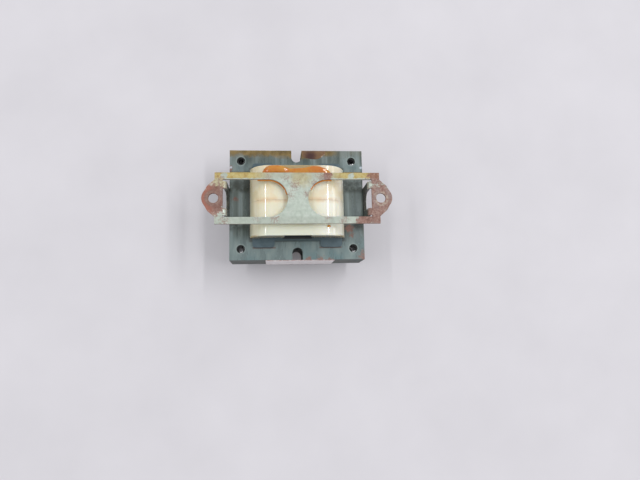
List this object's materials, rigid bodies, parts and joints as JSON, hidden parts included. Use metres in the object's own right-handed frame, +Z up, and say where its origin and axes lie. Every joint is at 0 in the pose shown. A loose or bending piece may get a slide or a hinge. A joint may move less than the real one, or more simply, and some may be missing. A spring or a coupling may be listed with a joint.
{
  "type": "ignition coil",
  "caption": "Laminated E-I core ignition coil with a cream moulded coil cover, held by a flat steel bracket whose tongues grip the core and whose round ears take screws.",
  "frame": {"origin": "middle of the coil cover's underside, the face that the coil rests on, straight below the middle of the core", "axes": "+X along the bracket from one ear to the other, +Y along the coil's axis towards the high-voltage end, +Z up to the bracket's plate"},
  "size_m": [0.077, 0.0477, 0.0381],
  "materials": {
    "galvanised_sheet": "galvanised, spotted with rust",
    "lamination_steel": "oxide-coated sheets, varnished",
    "rivet_steel": "dull steel under varnish",
    "zinc_plate": "zinc plated",
    "bobbin_plastic": "moulded, satin",
    "cover_plastic": "moulded, glossy, slightly translucent",
    "insulating_paper": "varnished paper",
    "varnished_tape": "varnished cloth",
    "enamelled_copper": "enamelled copper wire",
    "tag_brass": "tinned brass",
    "socket_plastic": "moulded phenolic",
    "varnish": "set insulating varnish, glossy amber"
  },
  "bodies": {
    "root": {"mounting_bracket": "galvanised_sheet", "e_lamination_stack": "lamination_steel", "i_lamination_stack": "lamination_steel", "gap_shims": "insulating_paper", "core_rivets": "rivet_steel", "yoke_plate": "zinc_plate", "leg_insulation": "insulating_paper", "bobbin": "bobbin_plastic", "primary_winding": "enamelled_copper", "primary_wrap": "insulating_paper", "secondary_winding": "enamelled_copper", "layer_papers": "insulating_paper", "outer_wrap": "varnished_tape", "coil_cover_front": "cover_plastic", "coil_cover_rear": "cover_plastic", "seam_adhesive": "varnish", "primary_tags": "tag_brass", "primary_leads": "enamelled_copper", "high_voltage_socket": "socket_plastic", "high_voltage_contact": "tag_brass", "high_voltage_lead": "enamelled_copper", "earth_lead": "enamelled_copper", "earth_tag": "zinc_plate", "varnish_bead": "varnish"}
  },
  "joints": []
}
